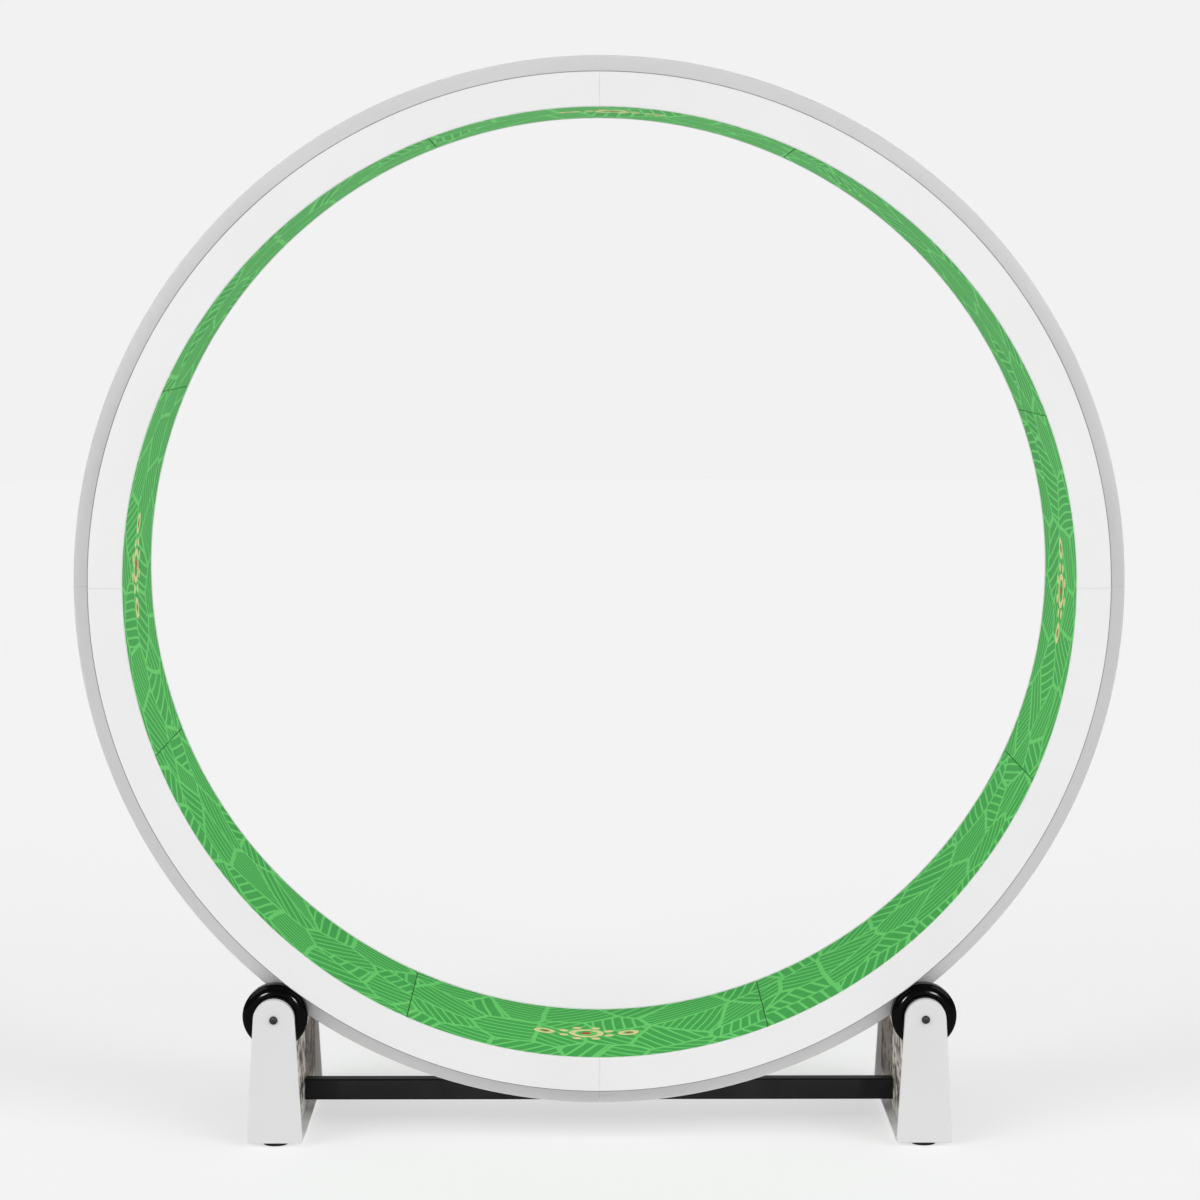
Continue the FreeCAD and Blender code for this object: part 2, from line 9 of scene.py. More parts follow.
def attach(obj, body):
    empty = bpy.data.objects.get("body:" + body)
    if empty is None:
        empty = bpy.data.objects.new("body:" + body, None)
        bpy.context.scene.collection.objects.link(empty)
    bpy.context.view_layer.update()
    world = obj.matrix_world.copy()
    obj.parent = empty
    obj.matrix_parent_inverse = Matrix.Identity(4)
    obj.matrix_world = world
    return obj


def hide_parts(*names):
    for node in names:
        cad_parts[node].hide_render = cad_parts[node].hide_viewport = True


# Looks of the exercise wheel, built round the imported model. Metres, in the model's own frame:
# +X right, +Y to the rear, +Z up, the origin on the floor below the drum's middle.

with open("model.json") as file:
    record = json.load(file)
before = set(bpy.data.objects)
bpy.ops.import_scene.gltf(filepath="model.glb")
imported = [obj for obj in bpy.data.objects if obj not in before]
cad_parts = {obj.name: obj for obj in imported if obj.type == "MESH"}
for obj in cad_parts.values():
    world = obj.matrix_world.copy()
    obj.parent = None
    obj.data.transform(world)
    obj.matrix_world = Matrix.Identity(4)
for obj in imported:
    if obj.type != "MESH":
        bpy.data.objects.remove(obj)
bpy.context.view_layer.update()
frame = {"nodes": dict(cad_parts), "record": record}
NODES = frame["nodes"]
MM = 0.001


# ---- sizes, as in the model ----

SIDES = {"left": -1, "right": 1}
ENDS = {"front": -1, "rear": 1}

# drum
SEGMENTS = 4
SEGMENT_ANGLE = math.radians(90)
FACE_RADIUS = 541 * MM
TRACK_RADIUS = 581 * MM
RIM_RADIUS = 600 * MM
FACE = 136 * MM
STEP = 110.4 * MM
FLANGE_BACK = 104.4 * MM
RIM_WALL = 3 * MM
RIBS = 5
RIB_SPACING = math.radians(15)
RIB_THICK = 2.4 * MM
MATS = 8
MAT_ANGLE = math.radians(45)
MAT_TURN = math.radians(20.9)
MAT_FACE = 543.5 * MM
DECK_FACE = 547.5 * MM
DECK_BACK = 550.5 * MM
DECK_SIDE = 132.8 * MM
DECK_PLAY = 0.2 * MM

# rollers
ROLLER_RADIUS = 37.6 * MM
HUB_RADIUS = 23.6 * MM
ROLLER_GAP = 0.3 * MM
ROLLER_OUT = 134 * MM
ROLLER_IN = 112.4 * MM
ROLLER_ANGLE = math.radians(37.04)
AXIS_LEVEL = RIM_RADIUS + 41.5 * MM
AXLE_CIRCLE = TRACK_RADIUS + ROLLER_RADIUS + ROLLER_GAP
AXLE_X = AXLE_CIRCLE * math.sin(ROLLER_ANGLE)
AXLE_Z = AXIS_LEVEL - AXLE_CIRCLE * math.cos(ROLLER_ANGLE)
BEARING_BORE = 8 * MM
BEARING_RADIUS = 11 * MM
BEARING_WIDTH = 7 * MM
BEARING_PLAY = 0.05 * MM

# stand
PLATE_FACE = 142 * MM
PLATE_BACK = 150 * MM
PLATE_LOW = 4 * MM
PLATE_TOP = 23.6 * MM
PLATE_FOOT = 64.4 * MM
STRAP_X = AXLE_X - 17.4 * MM
BAR_TOP = AXIS_LEVEL - TRACK_RADIUS - 15.2 * MM
BAR_HEIGHT = 25 * MM
BAR_DEPTH = 20 * MM
BAR_WALL = 2 * MM
BAR_END = AXLE_X - 23.4 * MM
FOOT_PLACE = 133.5 * MM
FOOT_RADIUS = 14 * MM

# fasteners: each screw's shank, head, rise of its head, length and key
AXLE_SCREW = (5 * MM, 9.5 * MM, 2.75 * MM, 18 * MM, 3 * MM)
WALL_SCREW = (4 * MM, 7.6 * MM, 2.2 * MM, 9 * MM, 2.5 * MM)
STRAP_SCREW = (4 * MM, 7.6 * MM, 2.2 * MM, 6 * MM, 2.5 * MM)
BAR_BOLT = (6 * MM, 10.5 * MM, 3.3 * MM, 30 * MM, 4 * MM)
WALL_SCREW_PLACE = 139 * MM
WALL_SCREW_LEVELS = (40 * MM, AXLE_Z - 60.7 * MM)
STRAP_SCREW_PLACE = 20 * MM
STRAP_SCREW_LEVEL = AXLE_Z - 68.7 * MM
STUD_RADIUS = 2.5 * MM
STUD_LOW = 1.5 * MM
STUD_HIGH = 15.2 * MM
THREAD_PLAY = 0.02 * MM
NUT_LOW = 10 * MM
NUT_FLATS = 8 * MM
NUT_THICK = 4 * MM

# fine trim that only the looks have
SEAM_GAP = 0.18 * MM
MAT_GAP = 1.1 * MM
REBATE = 1.1 * MM
REAR_LIP = 0.8 * MM


# ---- camera, at the photograph's angle ----

PITCH = math.radians(5.22)
YAW = math.radians(0.32)
LENS = 98.4
VIEWPOINT = (-0.0204, -3.839, 0.9666)

camera_data = bpy.data.cameras.new("camera")
camera_data.sensor_width = 36
camera_data.lens = LENS
camera_data.clip_start = 0.05
camera_data.clip_end = 100
camera = bpy.data.objects.new("camera", camera_data)
bpy.context.scene.collection.objects.link(camera)
bpy.context.scene.camera = camera
look = Vector((math.cos(PITCH) * math.sin(YAW), math.cos(PITCH) * math.cos(YAW), -math.sin(PITCH)))
right = Vector((math.cos(YAW), -math.sin(YAW), 0))
above = right.cross(look)
turn = Matrix((right, above, -look)).transposed().to_4x4()
camera.matrix_world = Matrix.Translation(VIEWPOINT) @ turn
bpy.context.scene.view_settings.view_transform = "Standard"


# ---- materials ----

class Shader:
    """A material's node tree, with short calls for the nodes that it needs."""

    def __init__(self, name, **values):
        self.material = bpy.data.materials.new(name)
        self.material.use_nodes = True
        self.tree = self.material.node_tree
        self.surface = self.tree.nodes["Principled BSDF"]
        for socket, value in values.items():
            self.surface.inputs[socket.replace("_", " ")].default_value = value

    def put(self, socket, value):
        if isinstance(value, bpy.types.NodeSocket):
            self.tree.links.new(value, socket)
        else:
            socket.default_value = value

    def node(self, kind, settings=None, **inputs):
        made = self.tree.nodes.new(kind)
        for name, value in (settings or {}).items():
            setattr(made, name, value)
        for name, value in inputs.items():
            self.put(made.inputs[name.replace("_", " ")], value)
        return made

    def math(self, operation, *values):
        made = self.node("ShaderNodeMath", {"operation": operation})
        for socket, value in zip(made.inputs, values):
            self.put(socket, value)
        return made.outputs[0]

    def add(self, one, two):
        return self.math("ADD", one, two)

    def minus(self, one, two):
        return self.math("SUBTRACT", one, two)

    def times(self, one, two):
        return self.math("MULTIPLY", one, two)

    def distance(self, x, y):
        return self.math("SQRT", self.add(self.times(x, x), self.times(y, y)))

    def ramp(self, value, low, high):
        """0 at low, 1 at high, smooth between."""
        made = self.node("ShaderNodeMapRange", {"interpolation_type": "SMOOTHSTEP"}, Value=value)
        made.inputs["From Min"].default_value = low
        made.inputs["From Max"].default_value = high
        return made.outputs["Result"]

    def mix(self, share, first, second):
        made = self.node("ShaderNodeMix", {"data_type": "RGBA"})
        self.put(made.inputs[0], share)
        self.put(made.inputs[6], first)
        self.put(made.inputs[7], second)
        return made.outputs[2]

    def place(self):
        """Where the point is on the piece, in metres; it turns with the piece."""
        return self.node("ShaderNodeTexCoord").outputs["Object"]

    def split(self, vector):
        return self.node("ShaderNodeSeparateXYZ", None, Vector=vector).outputs

    def join(self, x, y, z=0.0):
        return self.node("ShaderNodeCombineXYZ", None, X=x, Y=y, Z=z).outputs[0]

    def stretched(self, where, x, y, z):
        made = self.node("ShaderNodeMapping", None, Vector=where)
        made.inputs["Scale"].default_value = (x, y, z)
        return made.outputs[0]

    def noise(self, where, scale, detail=3.0, roughness=0.5):
        made = self.node("ShaderNodeTexNoise", None,
                         Vector=where, Scale=scale, Detail=detail, Roughness=roughness)
        return made.outputs[0]

    def cells(self, where, scale, dimensions, feature="F1"):
        settings = {"voronoi_dimensions": dimensions, "feature": feature}
        return self.node("ShaderNodeTexVoronoi", settings, Vector=where, Scale=scale).outputs

    def numbers(self, colour):
        """Three even random numbers from a cell's colour."""
        return self.node("ShaderNodeSeparateColor", None, Color=colour).outputs

    def finish(self, colour, roughness, height, depth):
        """Gives the surface its colour, roughness and bump, and returns the material."""
        self.put(self.surface.inputs["Base Color"], colour)
        self.put(self.surface.inputs["Roughness"], roughness)
        bump = self.node("ShaderNodeBump", None, Height=height, Distance=depth)
        self.tree.links.new(bump.outputs[0], self.surface.inputs["Normal"])
        return self.material


def grey(value):
    return (value, value, value, 1)


def plastic(name, low, high, roughness, grain, depth, shine=0.4):
    """Moulded plastic: slight mottling, flow marks and a fine skin."""
    shader = Shader(name, Specular_IOR_Level=shine)
    where = shader.place()
    cloud = shader.noise(where, 7.0, 4.0)
    flow = shader.noise(shader.stretched(where, 3.0, 22.0, 3.0), 2.0, 3.0)
    blend = shader.add(shader.times(cloud, 0.6), shader.times(flow, 0.4))
    colour = shader.mix(shader.ramp(blend, 0.35, 0.65), grey(low), grey(high))
    uneven = shader.add(roughness, shader.times(shader.minus(cloud, 0.5), 0.08))
    return shader.finish(colour, uneven, shader.noise(where, grain, 2.0), depth)


def sheet_metal(name, dark, pale):
    """Mottled brown-grey sheet with flecks and small dark knots, and a painted reflection of the pale floor
    that makes it paler at its foot.
    """
    shader = Shader(name, Specular_IOR_Level=0.05)
    where = shader.place()
    streaks = shader.noise(shader.stretched(where, 0.2, 0.34, 0.5), 120.0, 8.0, 0.68)
    clouds = shader.noise(shader.stretched(where, 0.3, 0.8, 0.6), 34.0, 4.0, 0.6)
    tone = shader.add(shader.times(streaks, 0.65), shader.times(clouds, 0.35))
    colour = shader.mix(shader.ramp(tone, 0.41, 0.6), dark, pale)

    spots = shader.cells(shader.stretched(where, 0.3, 0.34, 1.0), 105.0, "3D")
    pick = shader.numbers(spots["Color"])[0]
    knot = shader.times(shader.ramp(spots["Distance"], 0.55, 0.15), shader.ramp(pick, 0.7, 0.8))
    colour = shader.mix(shader.times(knot, 0.75), colour, dark)

    # painted reflection of the pale floor: the sheet turns paler towards the floor, with a streaky edge
    height = shader.add(shader.split(where)[2], shader.times(streaks, 0.012))
    foot = shader.times(shader.ramp(height, 0.036, 0.022), 0.7)
    colour = shader.mix(foot, colour, (0.6, 0.58, 0.56, 1))
    uneven = shader.add(0.4, shader.times(streaks, 0.25))
    return shader.finish(colour, uneven, streaks, 0.0002)


def metal(name, colour, roughness, scratch):
    """Plated or ground metal with fine turning marks."""
    shader = Shader(name, Metallic=1.0)
    where = shader.place()
    marks = shader.noise(shader.stretched(where, 1.0, 14.0, 1.0), scratch, 4.0)
    cloud = shader.noise(where, 60.0, 3.0)
    worn = tuple(0.62 * part for part in colour[:3]) + (1,)
    mottled = shader.mix(shader.ramp(cloud, 0.3, 0.7), worn, colour)
    uneven = shader.add(roughness, shader.times(marks, 0.15))
    return shader.finish(mottled, uneven, marks, 0.00005)


def coat(name, colour, roughness, grain=900.0, depth=0.00006, shine=0.3, bloom=0.004):
    """Powder coat, rubber or moulded black: fine grain, and a paler bloom in patches."""
    shader = Shader(name, Specular_IOR_Level=shine)
    where = shader.place()
    cloud = shader.noise(where, 18.0, 4.0)
    pale = tuple(min(1.0, 1.4 * part + bloom) for part in colour[:3]) + (1,)
    mottled = shader.mix(shader.ramp(cloud, 0.4, 0.75), colour, pale)
    uneven = shader.add(roughness, shader.times(shader.minus(cloud, 0.5), 0.15))
    return shader.finish(mottled, uneven, shader.noise(where, grain, 2.0), depth)


def lining(name):
    """Printed mat: pale lines hatch a mosaic of cells on green, with a rosette on every other mat."""
    shader = Shader(name, Specular_IOR_Level=0.12)
    where = shader.place()
    x, y, z = shader.split(where)[:3]
    angle = shader.math("ARCTAN2", shader.minus(z, AXIS_LEVEL), x)
    turns = shader.math("DIVIDE", shader.minus(angle, MAT_TURN), MAT_ANGLE)
    index = shader.math("FLOOR", turns)
    along = shader.times(shader.minus(shader.minus(turns, index), 0.5), MAT_ANGLE * MAT_FACE)
    which = shader.math("FLOORED_MODULO", index, float(MATS))

    # mosaic cells with uneven edges, each with its own way of hatching
    across = shader.times(y, 0.8)
    shifted = shader.add(along, shader.times(which, 0.731))
    sway = shader.noise(shader.join(shifted, across, shader.times(which, 1.7)), 9.0, 1.0)
    bent = shader.add(shifted, shader.times(shader.minus(sway, 0.5), 0.016))
    flat = shader.join(bent, across)
    pick = shader.numbers(shader.cells(flat, 15.0, "2D")["Color"])
    edge = shader.cells(flat, 15.0, "2D", "DISTANCE_TO_EDGE")["Distance"]
    lean = shader.times(pick[0], math.pi)
    run = shader.add(shader.times(bent, shader.math("COSINE", lean)),
                     shader.times(across, shader.math("SINE", lean)))
    spacing = shader.add(0.0095, shader.times(pick[1], 0.006))
    stripe = shader.math("FRACT", shader.math("DIVIDE", run, spacing))
    hatch = shader.ramp(shader.math("ABSOLUTE", shader.minus(stripe, 0.5)), 0.34, 0.4)
    lines = shader.math("MAXIMUM", hatch, shader.ramp(edge, 0.05, 0.032))
    base = shader.mix(shader.noise(where, 14.0, 3.0), (0.053, 0.4, 0.077, 1), (0.068, 0.445, 0.093, 1))
    print_colour = shader.mix(lines, base, (0.16, 0.68, 0.17, 1))

    def ring_at(centre, radius, width):
        """A drawn ring, and how far each point is from its middle."""
        reach = shader.distance(shader.minus(along, centre), y)
        off = shader.math("ABSOLUTE", shader.minus(reach, radius))
        return shader.ramp(off, width, 0.7 * width), reach

    # rosette: a beaded ring between two smaller rings, each with a red middle
    beads, bead_ring = 8, 0.029
    beige, reach = ring_at(0.0, 0.017, 0.0042)
    spoke = shader.times(shader.math("ARCTAN2", y, along), beads / (2 * math.pi))
    beside = shader.times(shader.minus(shader.math("FRACT", spoke), 0.5), 2 * math.pi * bead_ring / beads)
    bead = shader.distance(beside, shader.minus(reach, bead_ring))
    beige = shader.math("MAXIMUM", beige, shader.ramp(bead, 0.006, 0.005))
    red = shader.ramp(reach, 0.0062, 0.0052)
    for centre in (-0.05, 0.05):
        small, near = ring_at(centre, 0.0095, 0.0036)
        beige = shader.math("MAXIMUM", beige, small)
        red = shader.math("MAXIMUM", red, shader.ramp(near, 0.0042, 0.0032))
    drawn = shader.math("COMPARE", shader.math("FLOORED_MODULO", which, 2.0), 1.0, 0.1)
    print_colour = shader.mix(shader.times(beige, drawn), print_colour, (0.84, 0.72, 0.36, 1))
    print_colour = shader.mix(shader.times(red, drawn), print_colour, (0.56, 0.06, 0.05, 1))
    return shader.finish(print_colour, 0.62, shader.noise(where, 700.0, 3.0), 0.00025)


MATERIALS = {
    "drum_shell": plastic("white_shell", 0.742, 0.766, 0.4, 900.0, 0.00003),
    "deck_board": plastic("white_board", 0.68, 0.74, 0.55, 500.0, 0.00005),
    "lining_mat": lining("printed_mat"),
    "roller_tyre": coat("black_tyre", (0.0005, 0.0005, 0.0006, 1), 0.1, 1400.0, 0.000001, 0.075, 0.0002),
    "roller_hub": coat("black_hub", (0.008, 0.008, 0.009, 1), 0.35, shine=0.25),
    "bearing_steel": metal("ground_steel", (0.56, 0.57, 0.58, 1), 0.22, 300.0),
    "end_plate": plastic("white_plate", 0.658, 0.678, 0.36, 1100.0, 0.00002, 0.3),
    "base_sheet": coat("grey_paint", (0.72, 0.72, 0.71, 1), 0.5),
    "wall_sheet": sheet_metal("mottled_sheet_front", (0.05, 0.04, 0.031, 1), (0.9, 0.84, 0.77, 1)),
    "bar_paint": coat("black_coat", (0.0065, 0.0065, 0.0068, 1), 0.4, shine=0.11),
    "black_plastic": coat("black_plastic", (0.014, 0.014, 0.014, 1), 0.45),
    "foot_rubber": coat("black_rubber", (0.012, 0.012, 0.012, 1), 0.7, 600.0, 0.00012, 0.2),
    "zinc_steel": metal("zinc_plate", (0.5, 0.51, 0.52, 1), 0.3, 200.0),
}
# greyer copy of the white shell for the raised rails: painted shade of their recess behind the face rings
rail_shade_plastic = plastic("rail_painted_shade", 0.615, 0.645, 0.45, 900.0, 0.00003, 0.25)
# dark grey copy of the shell for the rebates: painted shadow in the gap round each face ring
rebate_shadow_plastic = plastic("rebate_painted_shadow", 0.26, 0.32, 0.6, 900.0, 0.00003, 0.2)
# darker copy of the mottled sheet for the rear walls: painted shade for the stand's rear half under the drum
rear_shaded_sheet = sheet_metal("mottled_sheet_rear_painted_shade", (0.022, 0.016, 0.0115, 1), (0.29, 0.235, 0.19, 1))
black_head = coat("black_screw", (0.01, 0.01, 0.011, 1), 0.35)
slot_of = {part["node"]: part["material_slot"] for part in frame["record"]["subparts"]}


# ---- mesh helpers ----

def rounded(points, steps=5):
    """A closed outline with its corners rounded. Points are (x, y, radius); radius 0 stays sharp."""
    outline = []
    count = len(points)
    for place in range(count):
        here = Vector(points[place][:2])
        radius = points[place][2]
        if radius == 0:
            outline.append(here)
            continue
        one = (Vector(points[place - 1][:2]) - here).normalized()
        two = (Vector(points[(place + 1) % count][:2]) - here).normalized()
        half = one.angle(two) / 2
        reach = radius / math.tan(half)
        centre = here + (one + two).normalized() * (radius / math.sin(half))
        start = here + one * reach - centre
        end = here + two * reach - centre
        sweep = start.angle_signed(end)
        for step in range(steps + 1):
            share = -sweep * step / steps
            cos, sin = math.cos(share), math.sin(share)
            outline.append(centre + Vector((start.x * cos - start.y * sin, start.x * sin + start.y * cos)))
    return outline


def finish_mesh(name, mesh_edit, slot, body, node, material=None):
    """Turns the edited mesh into a piece of the object that stands for the node."""
    bmesh.ops.recalc_face_normals(mesh_edit, faces=mesh_edit.faces)
    mesh = bpy.data.meshes.new(name)
    mesh_edit.to_mesh(mesh)
    mesh_edit.free()
    mesh.shade_smooth()
    mesh.set_sharp_from_angle(angle=math.radians(34))
    piece = bpy.data.objects.new(name, mesh)
    bpy.context.scene.collection.objects.link(piece)
    weighted = piece.modifiers.new("weighted", "WEIGHTED_NORMAL")
    weighted.keep_sharp = True
    mesh.materials.append(material or MATERIALS[slot])
    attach(piece, body)
    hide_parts(node)
    return piece


def on_wheel(radius, depth, angle):
    """The point at a radius, depth and angle of the drum."""
    return Vector((radius * math.cos(angle), depth, AXIS_LEVEL + radius * math.sin(angle)))


def bridge(mesh_edit, one, two):
    """Faces between two closed rows of points."""
    for place in range(len(one)):
        other = (place + 1) % len(one)
        mesh_edit.faces.new((one[place], one[other], two[other], two[place]))


def arc_sweep(mesh_edit, outline, start, end, steps):
    """A closed outline of (radius, depth) swept about the drum's axis, with flat ends."""
    rings = []
    for step in range(steps + 1):
        angle = start + (end - start) * step / steps
        rings.append([mesh_edit.verts.new(on_wheel(radius, depth, angle)) for radius, depth in outline])
    for one, two in zip(rings, rings[1:]):
        bridge(mesh_edit, one, two)
    caps = [mesh_edit.faces.new(rings[0]), mesh_edit.faces.new(rings[-1])]
    for cap in caps:
        cap.normal_update()
    bmesh.ops.triangulate(mesh_edit, faces=caps)


def lathe(mesh_edit, outline, place, steps=64):
    """A closed outline of (radius, height) turned about Z, then set in place by the matrix."""
    rings = []
    for step in range(steps):
        angle = 2 * math.pi * step / steps
        cos, sin = math.cos(angle), math.sin(angle)
        row = []
        for radius, height in outline:
            if radius < 1e-7 and rings:
                row.append(rings[0][len(row)])
            else:
                row.append(mesh_edit.verts.new(place @ Vector((radius * cos, radius * sin, height))))
        rings.append(row)
    count = len(outline)
    for step in range(steps):
        one, two = rings[step], rings[(step + 1) % steps]
        for spot in range(count):
            other = (spot + 1) % count
            corners = [one[spot], one[other], two[other], two[spot]]
            unique = []
            for corner in corners:
                if corner not in unique:
                    unique.append(corner)
            if len(unique) > 2:
                mesh_edit.faces.new(unique)


def prism(mesh_edit, outline, place, thickness, edge=0.0, segments=2):
    """A flat outline given a thickness, its two rims bevelled, then set in place by the matrix."""
    low = [mesh_edit.verts.new((x, y, 0)) for x, y in outline]
    high = [mesh_edit.verts.new((x, y, thickness)) for x, y in outline]
    made = [mesh_edit.faces.new(low), mesh_edit.faces.new(high)]
    rims = list(made[0].edges) + list(made[1].edges)
    count = len(outline)
    for spot in range(count):
        other = (spot + 1) % count
        made.append(mesh_edit.faces.new((low[spot], low[other], high[other], high[spot])))
    verts = low + high
    if edge:
        done = bmesh.ops.bevel(mesh_edit, geom=rims, offset=edge, segments=segments, profile=0.5,
                               affect="EDGES", clamp_overlap=True)
        verts = list({v for face in done["faces"] for v in face.verts}
                     | {v for face in made if face.is_valid for v in face.verts})
    bmesh.ops.transform(mesh_edit, matrix=place, verts=verts)


def block(mesh_edit, low, high):
    """A box between two corners; returns its points."""
    corners = bmesh.ops.create_cube(mesh_edit, size=1.0)["verts"]
    low, high = Vector(low), Vector(high)
    scale = Matrix.Diagonal((*(high - low), 1))
    bmesh.ops.transform(mesh_edit, matrix=Matrix.Translation((low + high) / 2) @ scale, verts=corners)
    return corners


def facing(x, y, z, way):
    """A matrix that puts the origin at the point and turns +Z to the given way."""
    turned = Vector((0, 0, 1)).rotation_difference(Vector(way)).to_matrix().to_4x4()
    return Matrix.Translation((x, y, z)) @ turned


# ---- drum ----

def rim_outline():
    """Section of the rim in (radius, depth), its corners rounded, with a fine rebate round each face ring."""
    def side(lip):
        return [
            (lip, FACE - RIM_WALL, 0.8 * MM),
            (lip, FACE, 1.4 * MM),
            (TRACK_RADIUS - REBATE, FACE, 0.2 * MM),
            (TRACK_RADIUS - REBATE, FACE - REBATE, 0),
            (TRACK_RADIUS, FACE - REBATE, 0.2 * MM),
            (TRACK_RADIUS, STEP, 0.6 * MM),
            (RIM_RADIUS, STEP, 2.2 * MM),
            (RIM_RADIUS, FLANGE_BACK, 1.6 * MM),
            (TRACK_RADIUS, FLANGE_BACK, 1.6 * MM),
        ]

    rear = side(MAT_FACE - REAR_LIP)
    front = [(radius, -depth, corner) for radius, depth, corner in reversed(side(FACE_RADIUS))]
    inside = [
        (TRACK_RADIUS - RIM_WALL, -(FACE - RIM_WALL), 1.0 * MM),
        (TRACK_RADIUS - RIM_WALL, FACE - RIM_WALL, 1.0 * MM),
    ]
    return rounded(rear + front + inside)


def rim_rib(mesh_edit, middle, thickness):
    """A plate across the channel, rooted in its three sides."""
    low = DECK_BACK + DECK_PLAY
    high = TRACK_RADIUS - RIM_WALL / 2
    side = FACE - RIM_WALL / 2
    verts = block(mesh_edit, (low, -side, -thickness / 2), (high, side, thickness / 2))
    spin = Matrix.Rotation(-middle, 4, "Y")
    lift = Matrix.Translation((0, 0, AXIS_LEVEL))
    bmesh.ops.transform(mesh_edit, matrix=lift @ spin, verts=verts)


def paint_rail_and_rebate_shade(rim):
    """The raised rails get a greyer copy of the white shell as painted shade for their recess, and the rebates
    a dark grey as painted shadow in the gap round each face ring.
    """
    rim.data.materials.append(rail_shade_plastic)
    rim.data.materials.append(rebate_shadow_plastic)
    near = 0.1 * MM
    for face in rim.data.polygons:
        out = math.hypot(face.center.x, face.center.z - AXIS_LEVEL)
        depth = abs(face.center.y)
        if out > TRACK_RADIUS + 2 * near:
            face.material_index = 1
        # rebate faces: painted shadow
        elif out > TRACK_RADIUS - REBATE - near and FACE - REBATE - near < depth < FACE - near:
            face.material_index = 2


def drum():
    """Rim segments and deck panels, a quarter each, and the mats."""
    outline = rim_outline()
    for index in range(SEGMENTS):
        start = SEGMENT_ANGLE * index + SEAM_GAP / 2 / TRACK_RADIUS
        end = SEGMENT_ANGLE * (index + 1) - SEAM_GAP / 2 / TRACK_RADIUS
        mesh_edit = bmesh.new()
        arc_sweep(mesh_edit, outline, start, end, 60)
        for step in range(RIBS):
            rim_rib(mesh_edit, SEGMENT_ANGLE * index + RIB_SPACING * (step + 1), RIB_THICK)
        for angle in (start + RIM_WALL / 2 / DECK_BACK, end - RIM_WALL / 2 / DECK_BACK):
            rim_rib(mesh_edit, angle, RIM_WALL)
        paint_rail_and_rebate_shade(finish_mesh(f"rim_{index + 1}", mesh_edit, "drum_shell", "wheel",
                               f"rim_segment_{index + 1}"))

        mesh_edit = bmesh.new()
        board = [(DECK_FACE, -DECK_SIDE), (DECK_BACK, -DECK_SIDE),
                 (DECK_BACK, DECK_SIDE), (DECK_FACE, DECK_SIDE)]
        arc_sweep(mesh_edit, board, start, end, 60)
        finish_mesh(f"deck_{index + 1}", mesh_edit, "deck_board", "wheel", f"deck_panel_{index + 1}")

    for index in range(MATS):
        start = MAT_TURN + MAT_ANGLE * index + MAT_GAP / 2 / FACE_RADIUS
        end = MAT_TURN + MAT_ANGLE * (index + 1) - MAT_GAP / 2 / FACE_RADIUS
        mesh_edit = bmesh.new()
        mat = rounded([
            (MAT_FACE, -DECK_SIDE, 0.7 * MM),
            (DECK_FACE, -DECK_SIDE, 0),
            (DECK_FACE, DECK_SIDE, 0),
            (MAT_FACE, DECK_SIDE, 0.7 * MM),
        ], 3)
        arc_sweep(mesh_edit, mat, start, end, 36)
        finish_mesh(f"lining_{index + 1}", mesh_edit, "lining_mat", "wheel", f"mat_{index + 1}")


# ---- rollers ----

def tread_outline(half):
    """Section of the tyre in (radius, depth): flat running face, domed sides."""
    flat = half - 5.2 * MM
    root = HUB_RADIUS + 1.2 * MM
    steps = 14
    side = []
    for step in range(steps + 1):
        share = math.pi / 2 * step / steps
        side.append((root + (ROLLER_RADIUS - root) * math.sin(share), flat + (half - flat) * math.cos(share)))
    low = [(radius, -depth) for radius, depth in side]
    seat = half - 0.3 * MM
    return [(HUB_RADIUS, -seat)] + low + side[::-1] + [(HUB_RADIUS, seat)]


def roller(end, sign_y, side, sign_x):
    """Tyre and ribbed hub of one roller."""
    half = (ROLLER_OUT - ROLLER_IN) / 2
    middle = (ROLLER_OUT + ROLLER_IN) / 2
    place = facing(sign_x * AXLE_X, sign_y * middle, AXLE_Z, (0, 1, 0))
    name = f"{end}_{side}"
    body = f"{name}_roller"

    mesh_edit = bmesh.new()
    lathe(mesh_edit, tread_outline(half), place, 96)
    finish_mesh(f"{name}_tread", mesh_edit, "roller_tyre", body, f"{name}_tyre")

    mesh_edit = bmesh.new()
    seat = BEARING_RADIUS + BEARING_PLAY
    boss = 13.6 * MM
    web = 4.5 * MM
    rim = HUB_RADIUS - 2.6 * MM
    section = [
        (seat, half, 0.3 * MM),
        (boss, half, 0.6 * MM),
        (boss, web, 1.0 * MM),
        (rim, web, 1.0 * MM),
        (rim, half, 0.6 * MM),
        (HUB_RADIUS, half, 0.2 * MM),
    ]
    mirrored = [(radius, -depth, corner) for radius, depth, corner in section]
    lathe(mesh_edit, rounded(mirrored + section[::-1], 3), place, 72)
    rib_low = (boss - 0.6 * MM, -1.1 * MM, -half + 1.2 * MM)
    rib_high = (rim + 1 * MM, 1.1 * MM, half - 1.2 * MM)
    ribs = 6
    for step in range(ribs):
        spin = Matrix.Rotation(2 * math.pi * step / ribs, 4, "Z")
        bmesh.ops.transform(mesh_edit, matrix=place @ spin, verts=block(mesh_edit, rib_low, rib_high))
    finish_mesh(f"{name}_wheel_centre", mesh_edit, "roller_hub", body, f"{name}_hub")


